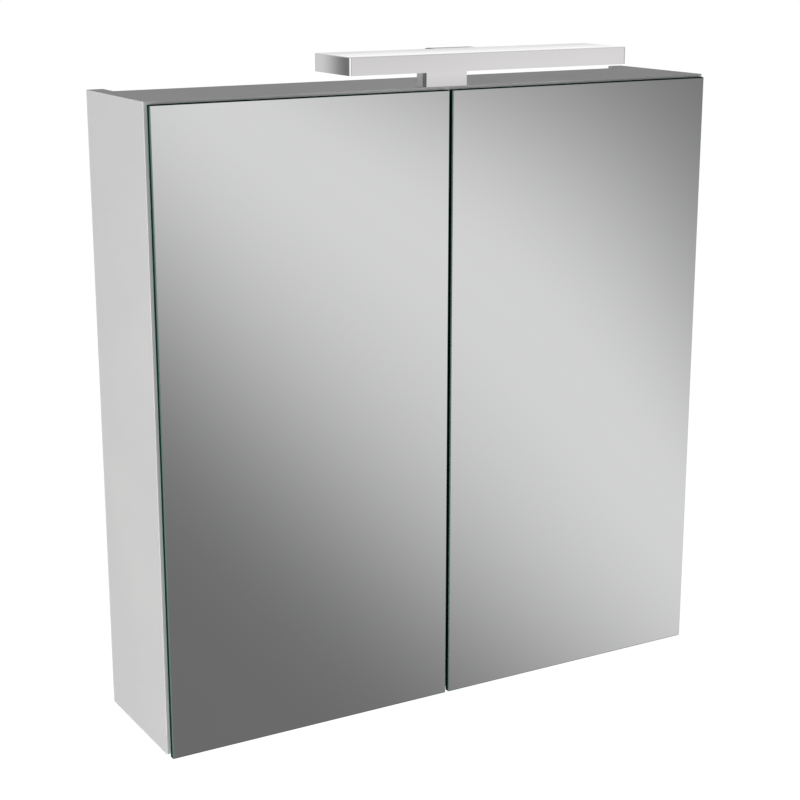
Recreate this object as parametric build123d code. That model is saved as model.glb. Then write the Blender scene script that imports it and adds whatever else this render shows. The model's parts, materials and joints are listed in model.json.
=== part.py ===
"""Medicine cabinet with two mirror doors and a lamp over them, in millimetres.

The wall is the plane y = 0, the front faces -Y and +Z is up.
The origin is the centre of the pattern of wall screws, on the wall.
"""
import os

from build123d import *

# Carcass
WIDTH = 680.0
HEIGHT = 680.0
DEPTH = 153.5  # wall to the boards' front edges
BOARD = 18.0
REAR_RECESS = 30.0  # the top and bottom boards stop this far before the wall
EDGE_ROUND = 0.8  # broken edge of the laminate
BACK_THICK = 3.0
BACK_INSET = 6.0  # from a board's rear edge to the back panel
GROOVE_DEPTH = 6.0
GROOVE_END_GAP = 0.5

# Board fixings
DOWEL_RADIUS = 4.0
DOWEL_LENGTH = 30.0
DOWEL_IN_SIDE = 10.0
DOWEL_FROM_FRONT = 16.0
DOWEL_FROM_REAR = 22.0
CAM_FROM_FRONT = 40.0
CAM_RADIUS = 7.5
CAM_OVER_BOLT = 1.5  # the disc reaches this far past the bolt
CAM_FROM_END = 34.0
CAM_BOLT_RADIUS = 3.0
CAM_BOLT_IN_SIDE = 11.0
CAM_BITE = 4.0  # the bolt's end inside the disc

# Wall hanging
MOUNT_DROP = 100.0  # the wall pattern's centre below the cabinet's top
WALL_HOLE_RISE = 36.0
WALL_HOLE_RADIUS = 3.25
PLATE_WIDTH = 36.0
PLATE_HEIGHT = 60.0
PLATE_THICK = 2.0
PLATE_CORNER = 4.0
TONGUE_RISE = 20.0
HANGER_WIDTH = 24.0
HANGER_GAP = 3.0  # the body's front face behind the back panel
HANGER_REAR = 9.0  # its rear face before the wall
HANGER_HEIGHT = 56.0
HANGER_ROUND = 3.0
HOOK_WIDTH = 10.0
HOOK_THICK = 3.0
HOOK_FINGER = 14.0
HOOK_FINGER_THICK = 2.2
HOOK_WALL_GAP = 1.2
HOOK_CLEARANCE = 0.6  # the finger to the tongue
HOOK_OUTSET = 10.0  # the hook's middle outside the wall plate's
ADJUST_RADIUS = 2.5
ADJUST_HEAD_RADIUS = 4.0
ADJUST_HEAD = 2.5
ADJUST_LENGTH = 14.0
ADJUST_OFFSET = 14.0  # above and below the hook's bar
ACCESS_RADIUS = 5.5

# Shelves
SHELF_THICK = 5.0
SHELF_CORNER = 2.5
SHELF_SIDE_GAP = 1.5
SHELF_FRONT_SET = 11.0
SHELF_REAR_GAP = 2.0
PIN_RADIUS = 2.5
PIN_IN_SIDE = 10.0
PIN_SPADE = (8.0, 7.0, 4.0)
PIN_NOSE = 2.0
PIN_FROM_FRONT = 30.0
PIN_FROM_BACK = 21.0  # the rear pins before the back panel
PIN_STEP = 32.0  # spare holes above and below each pin

# Mirror doors, two panes glued back to back
PANE_THICK = 3.0
DOOR_GAP = 2.0  # the boards' front edges to the door
DOOR_SIDE_INSET = 3.2
DOOR_TOP_INSET = 2.8
DOOR_BOTTOM_DROP = 2.9
DOOR_CENTRE_GAP = 3.5
PANE_CORNER = 1.2
PANE_ARRIS = 1.0
BUMPER_RADIUS = 4.0
BUMPER_CLEARANCE = 0.3
BUMPER_X = 16.0

# Concealed hinges: u runs inwards from the side board, v forwards from its front edge
HINGE_FROM_END = 105.0  # from the cabinet's bottom and from its top
SHORT_ARM_PIVOT = (30.0, -3.2)
SHORT_DOOR_PIVOT = (4.8, -4.4)
LONG_ARM_PIVOT = (52.0, -24.0)
LONG_DOOR_PIVOT = (5.2, -11.9)
PIVOT_RADIUS = 1.5
OPEN_PIVOT_RADIUS = 1.4
RUNNING_CLEARANCE = 0.06
OPEN_PIVOT_CLEARANCE = 0.9
LAYER_GAP = 0.4
SHORT_LINK_THICK = 6.8
CHEEK_THICK = 2.4
LONG_LINK_THICK = 2.0
CUP_CHEEK_THICK = 2.0
SHORT_LINK_END = 4.0
SHORT_LINK_SHANK = 2.6
FORK_ROOM = 1.5
LONG_LINK_DOOR_END = 3.4
LONG_LINK_ARM_END = 4.5
ARM_SHORT_BOSS = 4.0
ARM_LONG_BOSS = 6.0
ARM_FOOT_THICK = 10.0
ARM_FOOT_V = (-94.0, -62.0)
CUP_CHEEK_END = 3.4
CUP_PLATE_THICK = 1.5
CUP_PLATE_U = (1.6, 42.0)
CUP_PLATE_HEIGHT = 50.0
CUP_PLATE_CORNER = 3.0
CUP_WINDOW_U = 13.0
CUP_GUSSET_U = 20.0
SIDE_PLATE_THICK = 3.0
SIDE_PLATE_V = (-96.0, -58.0)
SIDE_PLATE_HEIGHT = 34.0
SIDE_PLATE_CORNER = 4.0
PLATE_SCREW_RADIUS = 1.75
PLATE_SCREW_HEAD = (3.5, 2.0)
PLATE_SCREW_IN_SIDE = 12.0
PLATE_SCREW_SPACING = 22.0
PLATE_SCREW_V = -77.0
ARM_SCREW_RADIUS = 2.0
ARM_SCREW_HEAD = (4.0, 2.5)
ARM_SCREW_V = -86.0

# Lamp
LAMP_LENGTH = 327.0
LAMP_DEPTH = 74.0
LAMP_HEIGHT = 17.8
LAMP_CLEAR = 22.9  # the cabinet's top to the lamp's underside
LAMP_REACH = 88.5  # the boards' front edges to the lamp's front
LAMP_CORNER = 2.0
LAMP_INNER_CORNER = 0.5
LAMP_EDGE = 0.8
LAMP_WALL = 1.5
DIFFUSER_THICK = 3.0
DIFFUSER_INSET = 1.0
BOARD_END_GAP = 11.0  # the circuit board's ends to the housing's walls
BOARD_SIDE_GAP = 15.0
BOARD_THICK = 1.6
CHIP_SIZE = (5.0, 5.0, 1.2)
CHIP_COUNT = 10
POST_WIDTH = 49.2
POST_DEPTH = 20.0
POST_SET = 1.5  # its front behind the boards' front edges
NECK_LIFT = 1.7  # the neck's underside above the lamp's
NECK_FLAT = 6.0  # least straight run beside the bend
NECK_BEND = 24.0
NECK_CROTCH = 5.0
WIRE_RADIUS = 3.5
LAMP_SCREW_X = 14.0
LAMP_SCREW_RADIUS = 2.0
LAMP_SCREW_HEAD = (3.5, 2.5)
LAMP_SCREW_GRIP = 9.0
POST_SCREW_X = 16.0
POST_SCREW_RADIUS = 2.5
POST_SCREW_HEAD = (4.5, 3.0)
POST_SCREW_GRIP = 12.0
SCREW_HOLE_CLEARANCE = 0.25
GROMMET_RADIUS = 6.0
GROMMET_FLANGE = (9.0, 1.5)

# Lamp driver with a rocker switch, under the top board
DRIVER_SIZE = (120.0, 42.0, 24.0)
DRIVER_REAR = 45.0  # its rear before the wall
DRIVER_WALL = 2.0
DRIVER_ROUND = 3.0
DRIVER_EAR = 13.0
DRIVER_SCREW_RADIUS = 1.75
DRIVER_SCREW_HEAD = (3.5, 2.0)
DRIVER_SCREW_GRIP = 12.0
SWITCH_DOWN = 12.0  # the switch's axis below the top board
ROCKER_SIZE = (18.0, 12.0)
ROCKER_FRONT = 2.2  # its ridge in front of the driver's face
ROCKER_RIM = 2.0
ROCKER_HEEL = 2.2
ROCKER_TILT = 6.0
ROCKER_AXIS_DEPTH = 4.0
ROCKER_PIN_RADIUS = 1.2
ROCKER_PIN = 1.6
SWITCH_GAP = 0.8
SWITCH_EAR = 3.0

# Places worked out from the sizes
TOP = MOUNT_DROP
BASE = TOP - HEIGHT
INNER = WIDTH / 2 - BOARD
FRONT = -DEPTH
CEILING = TOP - BOARD
FLOOR = BASE + BOARD
BOARD_REAR = -REAR_RECESS
BACK_REAR = BOARD_REAR - BACK_INSET
BACK_FRONT = BACK_REAR - BACK_THICK
DOWEL_ROWS = (FRONT + DOWEL_FROM_FRONT, BOARD_REAR - DOWEL_FROM_REAR)
CAM_HEIGHT = BOARD / 2 + CAM_BOLT_RADIUS + CAM_OVER_BOLT
SHELF_ROOM = (CEILING - FLOOR - 2 * SHELF_THICK) / 3
SHELF_LEVELS = {"lower": FLOOR + SHELF_ROOM, "upper": CEILING - SHELF_ROOM - SHELF_THICK}  # undersides
PIN_ROWS = (FRONT + PIN_FROM_FRONT, BACK_FRONT - PIN_FROM_BACK)
HINGE_LEVELS = {"lower": BASE + HINGE_FROM_END, "upper": TOP - HINGE_FROM_END}
PANE_REAR = FRONT - DOOR_GAP
PANE_JOIN = PANE_REAR - PANE_THICK
PANE_FRONT = PANE_JOIN - PANE_THICK
TONGUE_STAND = HOOK_WALL_GAP + HOOK_FINGER_THICK + HOOK_CLEARANCE + PLATE_THICK  # from the wall to its front
TONGUE_FOOT = PLATE_HEIGHT / 2 - PLATE_THICK
TONGUE_TOP = PLATE_HEIGHT / 2 + TONGUE_RISE
HANGER_FRONT = -BACK_REAR - HANGER_GAP  # the body's front face before the wall
HANGER_BASE = TONGUE_TOP + HOOK_THICK / 2 - HANGER_HEIGHT / 2
HOOK_X = INNER - HANGER_WIDTH / 2
WALL_PLATE_X = HOOK_X - HOOK_OUTSET
LAMP_FRONT = FRONT - LAMP_REACH
LAMP_BACK = LAMP_FRONT + LAMP_DEPTH
LAMP_BASE = TOP + LAMP_CLEAR
LAMP_TOP = LAMP_BASE + LAMP_HEIGHT
LAMP_MIDDLE = (LAMP_FRONT + LAMP_BACK) / 2
NECK_BASE = LAMP_BASE + NECK_LIFT
NECK_MIDDLE = (NECK_BASE + LAMP_TOP) / 2
CIRCUIT_TOP = LAMP_TOP - LAMP_WALL
CIRCUIT_LENGTH = LAMP_LENGTH - 2 * (LAMP_WALL + BOARD_END_GAP)
CIRCUIT_WIDTH = LAMP_DEPTH - 2 * (LAMP_WALL + BOARD_SIDE_GAP)
POST_FRONT = FRONT + POST_SET
POST_Y = POST_FRONT + POST_DEPTH / 2
DRIVER_BACK = -DRIVER_REAR
DRIVER_FRONT = DRIVER_BACK - DRIVER_SIZE[1]
DRIVER_BASE = CEILING - DRIVER_SIZE[2]
SHORT_HALF = SHORT_LINK_THICK / 2
CHEEK_IN = SHORT_HALF + LAYER_GAP
CHEEK_OUT = CHEEK_IN + CHEEK_THICK
LONG_IN = CHEEK_OUT + LAYER_GAP
LONG_OUT = LONG_IN + LONG_LINK_THICK
CUP_IN = LONG_OUT + LAYER_GAP
CUP_OUT = CUP_IN + CUP_CHEEK_THICK
SIDES = {"left": -1, "right": 1}


def block(x0, x1, y0, y1, z0, z1):
    """A box between three pairs of planes, given in either order."""
    centre = Pos((x0 + x1) / 2, (y0 + y1) / 2, (z0 + z1) / 2)
    return centre * Box(abs(x1 - x0), abs(y1 - y0), abs(z1 - z0))


def rod_x(radius, x0, x1, y, z):
    """A cylinder along X."""
    return Pos((x0 + x1) / 2, y, z) * Rot(0, 90, 0) * Cylinder(radius, abs(x1 - x0))


def rod_y(radius, x, y0, y1, z):
    """A cylinder along Y."""
    return Pos(x, (y0 + y1) / 2, z) * Rot(90, 0, 0) * Cylinder(radius, abs(y1 - y0))


def rod_z(radius, x, y, z0, z1):
    """A cylinder along Z."""
    return Pos(x, y, (z0 + z1) / 2) * Cylinder(radius, abs(z1 - z0))


def place(side, u, v):
    """A point of a hinge's plan, as x and y."""
    return side * (INNER - u), FRONT - v


def hinge_rod(side, pivot, radius, z0, z1):
    """A vertical cylinder at a hinge pivot."""
    x, y = place(side, *pivot)
    return rod_z(radius, x, y, z0, z1)


def hinge_block(side, u0, u1, v0, v1, z0, z1):
    """A box in a hinge's own coordinates."""
    xa, ya = place(side, u0, v0)
    xb, yb = place(side, u1, v1)
    return block(xa, xb, ya, yb, z0, z1)


def hinge_plate(side, rounds, z0, z1):
    """A flat bar around round ends, each given as a pivot and a radius."""
    ends = Sketch() + [Pos(*place(side, *pivot)) * Circle(radius) for pivot, radius in rounds]
    return Pos(0, 0, z0) * extrude(make_hull(ends.edges()), z1 - z0)


def both_layers(z, inner, outer):
    """The two height ranges of a layer that repeats above and below a hinge's middle."""
    return (z + inner, z + outer), (z - outer, z - inner)


# Carcass
def dowel_rod(side, y, z):
    inner_end = INNER + DOWEL_IN_SIDE - DOWEL_LENGTH
    return rod_x(DOWEL_RADIUS, side * inner_end, side * (INNER + DOWEL_IN_SIDE), y, z)


def cam_bolt_rod(side, z):
    inner_end, outer_end = INNER - CAM_FROM_END + CAM_RADIUS - CAM_BITE, INNER + CAM_BOLT_IN_SIDE
    return rod_x(CAM_BOLT_RADIUS, side * inner_end, side * outer_end, FRONT + CAM_FROM_FRONT, z)


def cam_disc(side, base):
    return rod_z(CAM_RADIUS, side * (INNER - CAM_FROM_END), FRONT + CAM_FROM_FRONT, base, base + CAM_HEIGHT)


def board_levels():
    """The middle heights of the bottom and top boards."""
    return BASE + BOARD / 2, TOP - BOARD / 2


def shelf_pin_places():
    """The level and the y of every shelf pin on one side."""
    return [(level, y) for level in SHELF_LEVELS.values() for y in PIN_ROWS]


def shelf_pin(side, level, y):
    length, width, height = PIN_SPADE
    spade = block(side * (INNER - length), side * INNER, y - width / 2, y + width / 2, level - height, level)
    nose = spade.edges().filter_by(Axis.Z).sort_by(lambda edge: abs(edge.center().X))[:2]
    shank = rod_x(PIN_RADIUS, side * INNER, side * (INNER + PIN_IN_SIDE), y, level - height / 2)
    return fillet(nose, PIN_NOSE) + shank


def shelf_pin_hole(side, level, y):
    return rod_x(PIN_RADIUS, side * INNER, side * (INNER + PIN_IN_SIDE), y, level - PIN_SPADE[2] / 2)


def plate_screw(side, z):
    """A hinge plate's wood screw, head on the plate."""
    radius, head = PLATE_SCREW_HEAD
    x, y = place(side, SIDE_PLATE_THICK, PLATE_SCREW_V)
    shank = rod_x(PLATE_SCREW_RADIUS, x, side * (INNER + PLATE_SCREW_IN_SIDE), y, z)
    return shank + rod_x(radius, x, x - side * head, y, z)


def plate_screw_levels():
    return [z + sign * PLATE_SCREW_SPACING / 2 for z in HINGE_LEVELS.values() for sign in (-1, 1)]


def hanger_screw_levels():
    middle = HANGER_BASE + HANGER_HEIGHT / 2
    return [middle + sign * HANGER_HEIGHT / 3 for sign in (-1, 1)]


def hanger_screw(side, z):
    """A screw through the hanger's body into the side board."""
    y = -(HANGER_FRONT + HANGER_REAR) / 2
    x = side * (INNER - HANGER_WIDTH)
    shank = rod_x(PLATE_SCREW_RADIUS, x, side * (INNER + PLATE_SCREW_IN_SIDE), y, z)
    return shank + rod_x(PLATE_SCREW_HEAD[0], x, x - side * PLATE_SCREW_HEAD[1], y, z)


def side_panel(side):
    panel = block(side * INNER, side * WIDTH / 2, FRONT, 0, BASE, TOP)
    panel = fillet(panel.faces().sort_by(Axis.Y)[0].edges(), EDGE_ROUND)
    groove_base, groove_top = FLOOR - GROOVE_DEPTH, CEILING + GROOVE_DEPTH
    groove_floor = side * (INNER + GROOVE_DEPTH)
    panel -= block(side * INNER, groove_floor, BACK_FRONT, BACK_REAR, groove_base, groove_top)
    for level in board_levels():
        panel -= [dowel_rod(side, y, level) for y in DOWEL_ROWS]
        panel -= cam_bolt_rod(side, level)
    for step in (-PIN_STEP, 0, PIN_STEP):
        panel -= [shelf_pin_hole(side, level + step, y) for level, y in shelf_pin_places()]
    panel -= [plate_screw(side, z) for z in plate_screw_levels()]
    panel -= [hanger_screw(side, z) for z in hanger_screw_levels()]
    return panel


def flat_board(base, cam_base, groove_base):
    """A top or bottom board between the side boards."""
    board = block(-INNER, INNER, FRONT, BOARD_REAR, base, base + BOARD)
    board = fillet(board.faces().sort_by(Axis.Y)[0].edges().filter_by(Axis.X), EDGE_ROUND)
    board -= block(-INNER, INNER, BACK_FRONT, BACK_REAR, groove_base, groove_base + GROOVE_DEPTH)
    for side in SIDES.values():
        board -= [dowel_rod(side, y, base + BOARD / 2) for y in DOWEL_ROWS]
        board -= cam_bolt_rod(side, base + BOARD / 2)
        board -= cam_disc(side, cam_base)
    return board


def top_panel():
    board = flat_board(CEILING, CEILING, CEILING)
    board -= rod_z(GROMMET_RADIUS, 0, POST_Y, CEILING, TOP)
    hole = POST_SCREW_RADIUS + SCREW_HOLE_CLEARANCE
    board -= [rod_z(hole, side * POST_SCREW_X, POST_Y, CEILING, TOP) for side in SIDES.values()]
    board -= [driver_screw(side) for side in SIDES.values()]
    return board


def bottom_panel():
    return flat_board(BASE, BASE, FLOOR - GROOVE_DEPTH)


def back_panel():
    reach = GROOVE_DEPTH - GROOVE_END_GAP
    panel = block(-INNER - reach, INNER + reach, BACK_FRONT, BACK_REAR, FLOOR - reach, CEILING + reach)
    for side in SIDES.values():
        panel -= [rod_y(ACCESS_RADIUS, side * HOOK_X, BACK_FRONT, BACK_REAR, z) for z in adjust_levels()]
    return panel


def dowels():
    return Compound([dowel_rod(s, y, z) for s in SIDES.values() for y in DOWEL_ROWS for z in board_levels()])


def cam_bolts():
    return Compound([cam_bolt_rod(side, z) for side in SIDES.values() for z in board_levels()])


def cam_discs():
    """Each disc is notched for the bolt that it draws in."""
    levels = zip((BASE, CEILING), board_levels())
    return Compound([cam_disc(s, base) - cam_bolt_rod(s, z) for base, z in levels for s in SIDES.values()])


# Wall hanging
def wall_plate(side):
    """A plate for two wall screws, with a tongue that the hook drops over."""
    x = side * WALL_PLATE_X
    left, right = x - PLATE_WIDTH / 2, x + PLATE_WIDTH / 2
    plate = block(left, right, -PLATE_THICK, 0, -PLATE_HEIGHT / 2, PLATE_HEIGHT / 2)
    plate += block(left, right, -TONGUE_STAND, 0, TONGUE_FOOT, TONGUE_FOOT + PLATE_THICK)
    plate += block(left, right, -TONGUE_STAND, PLATE_THICK - TONGUE_STAND, TONGUE_FOOT, TONGUE_TOP)
    ends = plate.edges().filter_by(Axis.Y).group_by(Axis.Z)
    plate = fillet(ends[0] + ends[-1], PLATE_CORNER)
    for sign in (-1, 1):
        plate -= rod_y(WALL_HOLE_RADIUS, x, -PLATE_THICK, 0, sign * WALL_HOLE_RISE / 2)
    return plate


def hook_bar(side):
    edge = HOOK_WIDTH / 2
    x = side * HOOK_X
    return block(x - edge, x + edge, -HANGER_FRONT, -HOOK_WALL_GAP, TONGUE_TOP, TONGUE_TOP + HOOK_THICK)


def hanger_hook(side):
    edge = HOOK_WIDTH / 2
    x = side * HOOK_X
    rear = -HOOK_WALL_GAP
    finger = block(x - edge, x + edge, rear - HOOK_FINGER_THICK, rear, TONGUE_TOP - HOOK_FINGER, TONGUE_TOP)
    return hook_bar(side) + finger


def adjust_levels():
    middle = TONGUE_TOP + HOOK_THICK / 2
    return middle - ADJUST_OFFSET, middle + ADJUST_OFFSET


def adjust_screw(side, z):
    x = side * HOOK_X
    shank = rod_y(ADJUST_RADIUS, x, -HANGER_FRONT, ADJUST_LENGTH - HANGER_FRONT, z)
    return shank + rod_y(ADJUST_HEAD_RADIUS, x, -HANGER_FRONT - ADJUST_HEAD, -HANGER_FRONT, z)


def hanger_body(side):
    body = block(side * (INNER - HANGER_WIDTH), side * INNER, -HANGER_FRONT, -HANGER_REAR,
                 HANGER_BASE, HANGER_BASE + HANGER_HEIGHT)
    body = fillet(body.edges().filter_by(Axis.X), HANGER_ROUND)
    body -= hook_bar(side)
    body -= [adjust_screw(side, z) for z in adjust_levels()]
    body -= [hanger_screw(side, z) for z in hanger_screw_levels()]
    return body


def adjust_screws():
    return Compound([adjust_screw(side, z) for side in SIDES.values() for z in adjust_levels()])


def hanger_screws():
    return Compound([hanger_screw(side, z) for side in SIDES.values() for z in hanger_screw_levels()])


# Shelves
def shelf(level):
    half, rear = INNER - SHELF_SIDE_GAP, BACK_FRONT - SHELF_REAR_GAP
    glass = block(-half, half, FRONT + SHELF_FRONT_SET, rear, level, level + SHELF_THICK)
    return fillet(glass.edges().filter_by(Axis.Z), SHELF_CORNER)


def shelf_pins():
    return Compound([shelf_pin(s, level, y) for s in SIDES.values() for level, y in shelf_pin_places()])


# Doors
def pane(side, y0, y1):
    inner, outer = DOOR_CENTRE_GAP / 2, WIDTH / 2 - DOOR_SIDE_INSET
    glass = block(side * inner, side * outer, y0, y1, BASE - DOOR_BOTTOM_DROP, TOP - DOOR_TOP_INSET)
    return fillet(glass.edges().filter_by(Axis.Y), PANE_CORNER)


def front_mirror(side):
    glass = pane(side, PANE_FRONT, PANE_JOIN)
    return chamfer(glass.faces().sort_by(Axis.Y)[0].edges(), PANE_ARRIS)


def rear_mirror(side):
    return pane(side, PANE_JOIN, PANE_REAR)


def door_bumpers():
    tip = PANE_REAR + BUMPER_CLEARANCE
    places = [(side * BUMPER_X, z) for side in SIDES.values() for z in board_levels()]
    return Compound([rod_y(BUMPER_RADIUS, x, tip, FRONT, z) for x, z in places])


# Hinges
def side_plate(side, z):
    """The plate that two wood screws hold to the side board."""
    half = SIDE_PLATE_HEIGHT / 2
    plate = hinge_block(side, 0, SIDE_PLATE_THICK, *SIDE_PLATE_V, z - half, z + half)
    plate = fillet(plate.edges().filter_by(Axis.X), SIDE_PLATE_CORNER)
    plate -= [plate_screw(side, z + sign * PLATE_SCREW_SPACING / 2) for sign in (-1, 1)]
    return plate - arm_screw(side, z)


def arm_screw(side, z):
    """The screw that clamps a hinge arm to its plate."""
    radius, head = ARM_SCREW_HEAD
    x, y = place(side, SIDE_PLATE_THICK + ARM_FOOT_THICK, ARM_SCREW_V)
    shank = rod_x(ARM_SCREW_RADIUS, x, side * INNER, y, z)
    return shank + rod_x(radius, x, x - side * head, y, z)


def hinge_arm(side, z):
    """The cranked arm: a foot, a bend and a fork that holds both arm pivots."""
    low, high = z - CHEEK_OUT, z + CHEEK_OUT
    neck_round = ARM_FOOT_THICK / 2
    neck = (SIDE_PLATE_THICK + neck_round, ARM_FOOT_V[1] - neck_round)
    arm = hinge_block(side, SIDE_PLATE_THICK, SIDE_PLATE_THICK + ARM_FOOT_THICK, *ARM_FOOT_V, low, high)
    arm += hinge_plate(side, [(LONG_ARM_PIVOT, ARM_LONG_BOSS), (neck, neck_round)], low, high)
    arm += hinge_plate(side, [(SHORT_ARM_PIVOT, ARM_SHORT_BOSS), (LONG_ARM_PIVOT, ARM_LONG_BOSS)], low, high)
    arm -= hinge_rod(side, SHORT_ARM_PIVOT, SHORT_LINK_END + FORK_ROOM, z - CHEEK_IN, z + CHEEK_IN)
    arm -= hinge_rod(side, SHORT_ARM_PIVOT, PIVOT_RADIUS, low, high)
    arm -= hinge_rod(side, LONG_ARM_PIVOT, PIVOT_RADIUS, low, high)
    return arm - arm_screw(side, z)


def short_links(side):
    hole = PIVOT_RADIUS + RUNNING_CLEARANCE
    open_hole = OPEN_PIVOT_RADIUS + OPEN_PIVOT_CLEARANCE
    links = []
    for z in HINGE_LEVELS.values():
        low, high = z - SHORT_HALF, z + SHORT_HALF
        shank = [(SHORT_ARM_PIVOT, SHORT_LINK_SHANK), (SHORT_DOOR_PIVOT, SHORT_LINK_SHANK)]
        link = hinge_plate(side, shank, low, high)
        link += hinge_rod(side, SHORT_ARM_PIVOT, SHORT_LINK_END, low, high)
        link += hinge_rod(side, SHORT_DOOR_PIVOT, SHORT_LINK_END, low, high)
        link -= hinge_rod(side, SHORT_ARM_PIVOT, hole, low, high)
        link -= hinge_rod(side, SHORT_DOOR_PIVOT, open_hole, low, high)
        links.append(link)
    return Compound(links)


def long_links(side):
    hole = PIVOT_RADIUS + RUNNING_CLEARANCE
    links = []
    for z in HINGE_LEVELS.values():
        for low, high in both_layers(z, LONG_IN, LONG_OUT):
            ends = [(LONG_ARM_PIVOT, LONG_LINK_ARM_END), (LONG_DOOR_PIVOT, LONG_LINK_DOOR_END)]
            link = hinge_plate(side, ends, low, high)
            link -= hinge_rod(side, LONG_ARM_PIVOT, hole, low, high)
            link -= hinge_rod(side, LONG_DOOR_PIVOT, hole, low, high)
            links.append(link)
    return Compound(links)


def cup_plate(side, z):
    """The plate glued to the glass, with two cheeks that hold both door pivots."""
    half = CUP_PLATE_HEIGHT / 2
    seat = -(PANE_REAR - FRONT)
    inner_face = seat - CUP_PLATE_THICK
    plate = hinge_block(side, *CUP_PLATE_U, inner_face, seat, z - half, z + half)
    plate = fillet(plate.edges().filter_by(Axis.Y), CUP_PLATE_CORNER)
    plate -= hinge_block(side, CUP_WINDOW_U, CUP_PLATE_U[1], inner_face, seat, z - CUP_IN, z + CUP_IN)
    foot_round = CUP_PLATE_THICK / 2
    foot_v = seat - foot_round
    rounds = [(SHORT_DOOR_PIVOT, CUP_CHEEK_END), (LONG_DOOR_PIVOT, CUP_CHEEK_END)]
    rounds += [((u, foot_v), foot_round) for u in (CUP_PLATE_U[0] + foot_round, CUP_GUSSET_U)]
    for low, high in both_layers(z, CUP_IN, CUP_OUT):
        plate += hinge_plate(side, rounds, low, high)
    plate -= hinge_rod(side, SHORT_DOOR_PIVOT, OPEN_PIVOT_RADIUS, z - CUP_OUT, z + CUP_OUT)
    return plate - hinge_rod(side, LONG_DOOR_PIVOT, PIVOT_RADIUS, z - CUP_OUT, z + CUP_OUT)


def arm_pins(side):
    """The pins that both links turn on at the arms."""
    pins = []
    for z in HINGE_LEVELS.values():
        pins.append(hinge_rod(side, SHORT_ARM_PIVOT, PIVOT_RADIUS, z - CHEEK_OUT, z + CHEEK_OUT))
        pins.append(hinge_rod(side, LONG_ARM_PIVOT, PIVOT_RADIUS, z - LONG_OUT, z + LONG_OUT))
    return Compound(pins)


def cup_pins(side):
    """The pins at the door: one through for the short link, a stub for each long link."""
    pins = []
    for z in HINGE_LEVELS.values():
        pins.append(hinge_rod(side, SHORT_DOOR_PIVOT, OPEN_PIVOT_RADIUS, z - CUP_OUT, z + CUP_OUT))
        for low, high in both_layers(z, LONG_IN, CUP_OUT):
            pins.append(hinge_rod(side, LONG_DOOR_PIVOT, PIVOT_RADIUS, low, high))
    return Compound(pins)


def plate_screws():
    return Compound([plate_screw(side, z) for side in SIDES.values() for z in plate_screw_levels()])


def arm_screws():
    return Compound([arm_screw(side, z) for side in SIDES.values() for z in HINGE_LEVELS.values()])


# Lamp
def lamp_outside():
    return Pos(0, LAMP_MIDDLE) * RectangleRounded(LAMP_LENGTH, LAMP_DEPTH, LAMP_CORNER)


def lamp_inside():
    length, depth = LAMP_LENGTH - 2 * LAMP_WALL, LAMP_DEPTH - 2 * LAMP_WALL
    return Pos(0, LAMP_MIDDLE) * RectangleRounded(length, depth, LAMP_INNER_CORNER)


def lamp_screw(side):
    radius, head = LAMP_SCREW_HEAD
    x, inside = side * LAMP_SCREW_X, LAMP_BACK - LAMP_WALL
    shank = rod_y(LAMP_SCREW_RADIUS, x, inside, LAMP_BACK + LAMP_SCREW_GRIP, NECK_MIDDLE)
    return shank + rod_y(radius, x, inside - head, inside, NECK_MIDDLE)


def wire_hole():
    """The wire's way from the lamp through the neck and down the post."""
    down = rod_z(WIRE_RADIUS, 0, POST_Y, TOP, NECK_MIDDLE)
    return down + rod_y(WIRE_RADIUS, 0, LAMP_BACK - LAMP_WALL, POST_Y, NECK_MIDDLE)


def lamp_housing():
    shell = Pos(0, 0, LAMP_BASE) * extrude(lamp_outside(), LAMP_HEIGHT)
    shell = fillet(shell.faces().sort_by(Axis.Z)[-1].edges(), LAMP_EDGE)
    shell -= Pos(0, 0, LAMP_BASE) * extrude(lamp_inside(), LAMP_HEIGHT - LAMP_WALL)
    shell -= [lamp_screw(side) for side in SIDES.values()]
    return shell - wire_hole()


def lamp_diffuser():
    return Pos(0, 0, LAMP_BASE + DIFFUSER_INSET) * extrude(lamp_inside(), DIFFUSER_THICK)


def lamp_board():
    middle = Pos(0, LAMP_MIDDLE, CIRCUIT_TOP - BOARD_THICK / 2)
    return middle * Box(CIRCUIT_LENGTH, CIRCUIT_WIDTH, BOARD_THICK)


def lamp_chips():
    length, width, thick = CHIP_SIZE
    pitch = CIRCUIT_LENGTH / CHIP_COUNT
    z = CIRCUIT_TOP - BOARD_THICK - thick / 2
    first = -pitch * (CHIP_COUNT - 1) / 2
    places = [Pos(first + i * pitch, LAMP_MIDDLE, z) for i in range(CHIP_COUNT)]
    return Compound([place * Box(length, width, thick) for place in places])


def lamp_bracket():
    """A post on the top board whose neck bends forward to the lamp's back."""
    front, rear = POST_FRONT, POST_FRONT + POST_DEPTH
    bend = min(NECK_BEND, rear - LAMP_BACK - NECK_FLAT, LAMP_TOP - TOP - NECK_FLAT)
    crotch = (front - NECK_CROTCH, NECK_BASE)
    lines = [
        Line((front, TOP), (front, NECK_BASE - NECK_CROTCH)),
        RadiusArc((front, NECK_BASE - NECK_CROTCH), crotch, NECK_CROTCH),
        Polyline(crotch, (LAMP_BACK, NECK_BASE), (LAMP_BACK, LAMP_TOP), (rear - bend, LAMP_TOP)),
        RadiusArc((rear - bend, LAMP_TOP), (rear, LAMP_TOP - bend), bend),
        Polyline((rear, LAMP_TOP - bend), (rear, TOP), (front, TOP)),
    ]
    profile = make_face(Curve() + lines)
    bracket = extrude(Plane.YZ * profile, POST_WIDTH / 2, both=True)
    bracket -= wire_hole()
    bracket -= [post_screw(side) for side in SIDES.values()]
    bracket -= [lamp_screw(side) for side in SIDES.values()]
    return bracket


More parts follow.
